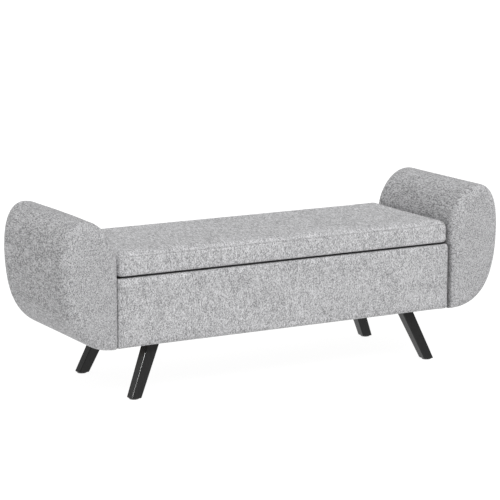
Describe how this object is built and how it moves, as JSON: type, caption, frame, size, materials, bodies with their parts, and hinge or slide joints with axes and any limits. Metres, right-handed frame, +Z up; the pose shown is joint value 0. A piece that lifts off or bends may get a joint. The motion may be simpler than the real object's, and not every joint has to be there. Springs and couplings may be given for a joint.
{
  "type": "storage bench",
  "caption": "Long upholstered storage bench with rounded padded arms, a hinged padded lid on gas struts and splayed tapered legs.",
  "frame": {"origin": "on the floor, at the middle of the bench", "axes": "+X along the length to the right as seen from the front, +Y to the back, +Z up"},
  "size_m": [1.45, 0.441, 0.527],
  "materials": {
    "upholstery_fabric": "matt, heathered light grey weave over foam",
    "grey_liner_cloth": "matt grey cloth",
    "black_dust_cloth": "matt black non-woven cloth",
    "plywood": "raw plywood",
    "black_leg_wood": "satin black lacquer",
    "glide_plastic": "matt black",
    "black_plate_steel": "black powder coat",
    "zinc_steel": "zinc plated",
    "black_strut_steel": "satin black",
    "polished_rod": "polished",
    "bumper_rubber": "matt"
  },
  "bodies": {
    "box": {"arm_back_rib_left": "plywood", "arm_back_rib_right": "plywood", "arm_bolt_back_left": "zinc_steel", "arm_bolt_back_right": "zinc_steel", "arm_bolt_front_left": "zinc_steel", "arm_bolt_front_right": "zinc_steel", "arm_front_rib_left": "plywood", "arm_front_rib_right": "plywood", "arm_inner_board_left": "plywood", "arm_inner_board_right": "plywood", "arm_outer_rail_left": "plywood", "arm_outer_rail_right": "plywood", "arm_top_rail_left": "plywood", "arm_top_rail_right": "plywood", "arm_upholstery_left": "upholstery_fabric", "arm_upholstery_right": "upholstery_fabric", "back_board": "plywood", "back_upholstery": "upholstery_fabric", "bottom_board": "plywood", "bottom_dust_cover": "black_dust_cloth", "end_board_left": "plywood", "end_board_right": "plywood", "front_board": "plywood", "front_upholstery": "upholstery_fabric", "hinge_box_leaf_left": "zinc_steel", "hinge_box_leaf_right": "zinc_steel", "leg_back_left": "black_leg_wood", "leg_back_right": "black_leg_wood", "leg_front_left": "black_leg_wood", "leg_front_right": "black_leg_wood", "leg_glide_back_left": "glide_plastic", "leg_glide_back_right": "glide_plastic", "leg_glide_front_left": "glide_plastic", "leg_glide_front_right": "glide_plastic", "leg_hanger_bolt_back_left": "zinc_steel", "leg_hanger_bolt_back_right": "zinc_steel", "leg_hanger_bolt_front_left": "zinc_steel", "leg_hanger_bolt_front_right": "zinc_steel", "leg_plate_back_left": "black_plate_steel", "leg_plate_back_right": "black_plate_steel", "leg_plate_front_left": "black_plate_steel", "leg_plate_front_right": "black_plate_steel", "lid_bumper_left": "bumper_rubber", "lid_bumper_right": "bumper_rubber", "storage_liner": "grey_liner_cloth", "strut_lower_bracket_left": "zinc_steel", "strut_lower_bracket_right": "zinc_steel"},
    "lid": {"lid_board": "plywood", "lid_cushion": "upholstery_fabric", "lid_dust_cover": "grey_liner_cloth", "hinge_lid_leaf_left": "zinc_steel", "hinge_lid_leaf_right": "zinc_steel", "strut_upper_bracket_left": "zinc_steel", "strut_upper_bracket_right": "zinc_steel"},
    "strut_tube_left": {"strut_tube_left": "black_strut_steel"},
    "strut_tube_right": {"strut_tube_right": "black_strut_steel"},
    "strut_rod_left": {"strut_rod_left": "polished_rod"},
    "strut_rod_right": {"strut_rod_right": "polished_rod"}
  },
  "joints": [
    {"name": "lid_hinge", "type": "hinge", "parent": "box", "child": "lid", "pos_m": [0, 0.204, 0.3555], "axis": [-1, 0, 0], "range_deg": [0, 80]},
    {"name": "strut_tube_hinge_left", "type": "hinge", "parent": "box", "child": "strut_tube_left", "pos_m": [-0.524, 0.14781, 0.21642], "axis": [-1, 0, 0], "range_deg": [0, 40]},
    {"name": "strut_rod_hinge_left", "type": "hinge", "parent": "lid", "child": "strut_rod_left", "pos_m": [-0.524, 0.05421, 0.3475], "axis": [-1, 0, 0], "range_deg": [-40, 0]},
    {"name": "strut_tube_hinge_right", "type": "hinge", "parent": "box", "child": "strut_tube_right", "pos_m": [0.524, 0.14781, 0.21642], "axis": [-1, 0, 0], "range_deg": [0, 40]},
    {"name": "strut_rod_hinge_right", "type": "hinge", "parent": "lid", "child": "strut_rod_right", "pos_m": [0.524, 0.05421, 0.3475], "axis": [-1, 0, 0], "range_deg": [-40, 0]}
  ],
  "couplings": [
    {"joint": "strut_tube_hinge_left", "follows": "lid_hinge", "ratio": 0.5},
    {"joint": "strut_rod_hinge_left", "follows": "lid_hinge", "ratio": -0.5},
    {"joint": "strut_tube_hinge_right", "follows": "lid_hinge", "ratio": 0.5},
    {"joint": "strut_rod_hinge_right", "follows": "lid_hinge", "ratio": -0.5}
  ]
}
